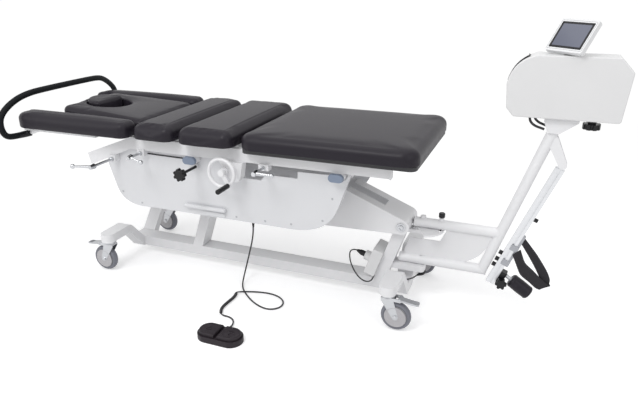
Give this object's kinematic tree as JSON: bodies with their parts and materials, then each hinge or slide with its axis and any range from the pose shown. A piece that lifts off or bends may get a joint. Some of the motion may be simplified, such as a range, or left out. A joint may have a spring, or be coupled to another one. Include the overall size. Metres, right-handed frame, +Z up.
{
  "type": "traction table",
  "caption": "Height-adjustable padded traction table on casters: lift arms, tilting head section, sliding leg pad, swinging mast with traction unit, folding rail and foot pedal.",
  "frame": {"origin": "centre of the underside of the object's box, on the floor, without the foot pedal's cord", "axes": "+X from the head end to the mast, +Y away from the control side, +Z up"},
  "size_m": [2.5544, 1.0146, 1.1978],
  "materials": {
    "frame_white": "satin off-white powder coat",
    "skirt_white": "satin off-white sheet metal",
    "housing_white": "satin white enclosure",
    "pad_black": "black synthetic leather, soft sheen",
    "grip_foam": "matte black foam sleeve",
    "cap_blue": "blue-grey plastic cap",
    "caster_steel": "zinc plated sheet steel",
    "tyre_grey": "grey non-marking tread",
    "chrome": "polished chrome",
    "black_plastic": "matte black moulded plastic",
    "steel": "brushed steel",
    "aluminium": "anodised aluminium extrusion",
    "slide_grey": "blue-grey slide",
    "strap": "black woven webbing",
    "screen_glass": "dark screen glass",
    "display_case": "light grey moulded case",
    "cord": "black cord",
    "board": "dark backing board"
  },
  "bodies": {
    "base": {"base_frame": "frame_white", "control_box": "housing_white", "connectors": "black_plastic", "pedal_cord": "cord", "pedal_coil": "cord", "foot_pedal": "black_plastic"},
    "arm_head": {"arm_head": "frame_white"},
    "arm_foot": {"arm_foot": "frame_white"},
    "actuator_body": {"actuator_body": "frame_white"},
    "actuator_rod": {"actuator_rod": "steel"},
    "table": {"table_frame": "frame_white", "tube_caps": "cap_blue", "skirt_front": "skirt_white", "skirt_rear": "skirt_white", "crank_housing": "frame_white", "chest_pad": "pad_black", "waist_pad": "pad_black"},
    "handwheel": {"handwheel": "frame_white"},
    "crank_grip": {"crank_grip": "black_plastic"},
    "lever_head": {"lever_head": "chrome"},
    "lever_slide": {"lever_slide": "chrome"},
    "lever_leg": {"lever_leg": "chrome"},
    "star_knob": {"star_knob": "black_plastic"},
    "head_section": {"head_frame": "frame_white", "handlebar_grip": "grip_foam", "arm_pad_near": "pad_black", "arm_pad_far": "pad_black"},
    "head_rest": {"head_board": "board", "head_pad": "pad_black"},
    "face_plug": {"face_plug": "pad_black"},
    "leg_section": {"leg_pad": "pad_black", "leg_board": "board"},
    "mast": {"mast_frame": "frame_white", "traction_box": "housing_white", "box_cable": "black_plastic"},
    "swing_plunger": {"swing_plunger": "black_plastic"},
    "box_knob": {"box_knob": "black_plastic"},
    "display_stand": {"display_stand": "black_plastic"},
    "display": {"display": "display_case", "screen": "screen_glass"},
    "fold_rail": {"fold_rail": "aluminium", "rail_knobs": "black_plastic", "bolster": "pad_black"},
    "rail_slides": {"rail_slides": "slide_grey", "harness_strap": "strap"},
    "rail_star": {"rail_star": "black_plastic"},
    "pedal_up": {"pedal_up": "black_plastic"},
    "pedal_down": {"pedal_down": "black_plastic"},
    "fork_hn": {"caster_fork_hn": "caster_steel"},
    "wheel_hn": {"caster_wheel_hn": "tyre_grey"},
    "brake_hn": {"brake_pedal_hn": "steel"},
    "fork_hf": {"caster_fork_hf": "caster_steel"},
    "wheel_hf": {"caster_wheel_hf": "tyre_grey"},
    "brake_hf": {"brake_pedal_hf": "steel"},
    "fork_fn": {"caster_fork_fn": "caster_steel"},
    "wheel_fn": {"caster_wheel_fn": "tyre_grey"},
    "brake_fn": {"brake_pedal_fn": "steel"},
    "fork_ff": {"caster_fork_ff": "caster_steel"},
    "wheel_ff": {"caster_wheel_ff": "tyre_grey"},
    "brake_ff": {"brake_pedal_ff": "steel"}
  },
  "joints": [
    {"name": "swivel_hn", "type": "hinge", "parent": "base", "child": "fork_hn", "pos_m": [-0.85947, -0.14131, 0.15], "axis": [0, 0, 1], "continuous": true},
    {"name": "roll_hn", "type": "hinge", "parent": "fork_hn", "child": "wheel_hn", "pos_m": [-0.89547, -0.14131, 0.0625], "axis": [0, 1, 0], "continuous": true},
    {"name": "brake_hn", "type": "hinge", "parent": "fork_hn", "child": "brake_hn", "pos_m": [-0.91147, -0.14131, 0.14], "axis": [0, -1, 0], "range_deg": [0, 8]},
    {"name": "swivel_hf", "type": "hinge", "parent": "base", "child": "fork_hf", "pos_m": [-0.85947, 0.35869, 0.15], "axis": [0, 0, 1], "continuous": true},
    {"name": "roll_hf", "type": "hinge", "parent": "fork_hf", "child": "wheel_hf", "pos_m": [-0.89547, 0.35869, 0.0625], "axis": [0, 1, 0], "continuous": true},
    {"name": "brake_hf", "type": "hinge", "parent": "fork_hf", "child": "brake_hf", "pos_m": [-0.91147, 0.35869, 0.14], "axis": [0, -1, 0], "range_deg": [0, 8]},
    {"name": "swivel_fn", "type": "hinge", "parent": "base", "child": "fork_fn", "pos_m": [0.52553, -0.14131, 0.15], "axis": [0, 0, 1], "continuous": true},
    {"name": "roll_fn", "type": "hinge", "parent": "fork_fn", "child": "wheel_fn", "pos_m": [0.56153, -0.14131, 0.0625], "axis": [0, 1, 0], "continuous": true},
    {"name": "brake_fn", "type": "hinge", "parent": "fork_fn", "child": "brake_fn", "pos_m": [0.57753, -0.14131, 0.14], "axis": [0, 1, 0], "range_deg": [0, 8]},
    {"name": "swivel_ff", "type": "hinge", "parent": "base", "child": "fork_ff", "pos_m": [0.52553, 0.35869, 0.15], "axis": [0, 0, 1], "continuous": true},
    {"name": "roll_ff", "type": "hinge", "parent": "fork_ff", "child": "wheel_ff", "pos_m": [0.56153, 0.35869, 0.0625], "axis": [0, 1, 0], "continuous": true},
    {"name": "brake_ff", "type": "hinge", "parent": "fork_ff", "child": "brake_ff", "pos_m": [0.57753, 0.35869, 0.14], "axis": [0, 1, 0], "range_deg": [0, 8]},
    {"name": "lift", "type": "hinge", "parent": "base", "child": "arm_foot", "pos_m": [0.52553, 0.10869, 0.373], "axis": [0, 1, 0], "range_deg": [-37, 30]},
    {"name": "lift_head", "type": "hinge", "parent": "base", "child": "arm_head", "pos_m": [-0.40947, 0.10869, 0.373], "axis": [0, 1, 0], "range_deg": [-37, 30]},
    {"name": "table_level", "type": "hinge", "parent": "arm_foot", "child": "table", "pos_m": [0.1778, 0.10869, 0.46618], "axis": [0, 1, 0], "range_deg": [-30, 37]},
    {"name": "actuator_swing", "type": "hinge", "parent": "base", "child": "actuator_body", "pos_m": [-0.29947, 0.10869, 0.338], "axis": [0, 1, 0], "range_deg": [-3, 3]},
    {"name": "rod_swing", "type": "hinge", "parent": "arm_foot", "child": "actuator_rod", "pos_m": [0.46553, 0.10869, 0.409], "axis": [0, 1, 0], "range_deg": [-33, 40]},
    {"name": "crank", "type": "hinge", "parent": "table", "child": "handwheel", "pos_m": [-0.17547, -0.19131, 0.597], "axis": [0, 1, 0], "range_deg": [0, 1800]},
    {"name": "crank_grip_turn", "type": "hinge", "parent": "handwheel", "child": "crank_grip", "pos_m": [-0.14547, -0.24131, 0.547], "axis": [0, 1, 0], "continuous": true},
    {"name": "leg_slide", "type": "slide", "parent": "table", "child": "leg_section", "axis": [1, 0, 0], "range_m": [0, 0.1]},
    {"name": "lever_head_turn", "type": "hinge", "parent": "table", "child": "lever_head", "pos_m": [-0.76147, -0.19131, 0.584], "axis": [0, 1, 0], "range_deg": [-45, 45]},
    {"name": "lever_slide_turn", "type": "hinge", "parent": "table", "child": "lever_slide", "pos_m": [-0.60147, -0.19131, 0.627], "axis": [0, 1, 0], "range_deg": [-45, 45]},
    {"name": "lever_leg_turn", "type": "hinge", "parent": "table", "child": "lever_leg", "pos_m": [-0.00347, -0.19131, 0.626], "axis": [0, 1, 0], "range_deg": [-30, 60]},
    {"name": "star_knob_turn", "type": "hinge", "parent": "table", "child": "star_knob", "pos_m": [-0.33647, -0.19131, 0.588], "axis": [0, 1, 0], "continuous": true},
    {"name": "head_tilt", "type": "hinge", "parent": "table", "child": "head_section", "pos_m": [-0.62347, 0.10869, 0.672], "axis": [0, 1, 0], "range_deg": [-18, 6]},
    {"name": "head_rest_tilt", "type": "hinge", "parent": "head_section", "child": "head_rest", "pos_m": [-0.62747, 0.10869, 0.697], "axis": [0, 1, 0], "range_deg": [-3.6, 8]},
    {"name": "face_plug_lift", "type": "slide", "parent": "head_rest", "child": "face_plug", "axis": [0.0628, 0, 0.998], "range_m": [0, 0.08]},
    {"name": "mast_swing", "type": "hinge", "parent": "base", "child": "mast", "pos_m": [0.60053, 0.10869, 0.376], "axis": [0, 0, 1], "range_deg": [-20, 20]},
    {"name": "index_pin", "type": "slide", "parent": "mast", "child": "swing_plunger", "axis": [0, 0, 1], "range_m": [0, 0.012], "stiffness_N_per_m": 600, "springref_m": -0.004},
    {"name": "box_knob_turn", "type": "hinge", "parent": "mast", "child": "box_knob", "pos_m": [1.17653, 0.10869, 0.85], "axis": [0, 0, 1], "continuous": true},
    {"name": "display_swivel", "type": "hinge", "parent": "mast", "child": "display_stand", "pos_m": [1.07742, 0.11047, 1.085], "axis": [0, 0, 1], "range_deg": [-60, 60]},
    {"name": "display_tilt", "type": "hinge", "parent": "display_stand", "child": "display", "pos_m": [1.07742, 0.11047, 1.10763], "axis": [0.766, -0.6428, 0], "range_deg": [-12, 4]},
    {"name": "rail_fold", "type": "hinge", "parent": "mast", "child": "fold_rail", "pos_m": [1.10253, 0.10869, 0.684], "axis": [0, -1, 0], "range_deg": [0, 90]},
    {"name": "rail_slide", "type": "slide", "parent": "fold_rail", "child": "rail_slides", "axis": [-0.3681, 0, -0.9298], "range_m": [-0.06, 0.02]},
    {"name": "rail_star_turn", "type": "hinge", "parent": "fold_rail", "child": "rail_star", "pos_m": [0.93797, 0.08369, 0.16514], "axis": [0, 1, 0], "continuous": true},
    {"name": "pedal_up_press", "type": "hinge", "parent": "base", "child": "pedal_up", "pos_m": [-0.08447, -0.45831, 0.021], "axis": [0, -1, 0], "range_deg": [0, 4], "stiffness_Nm_per_rad": 2, "springref_deg": -2.86},
    {"name": "pedal_down_press", "type": "hinge", "parent": "base", "child": "pedal_down", "pos_m": [-0.05247, -0.45831, 0.021], "axis": [0, 1, 0], "range_deg": [0, 4], "stiffness_Nm_per_rad": 2, "springref_deg": -2.86}
  ],
  "couplings": [
    {"joint": "lift_head", "follows": "lift", "ratio": 1},
    {"joint": "table_level", "follows": "lift", "ratio": -1},
    {"joint": "actuator_swing", "follows": "lift", "ratio": -0.072},
    {"joint": "rod_swing", "follows": "lift", "ratio": -1.072},
    {"joint": "leg_slide", "follows": "crank", "m_per_rad": 0.0031831}
  ]
}
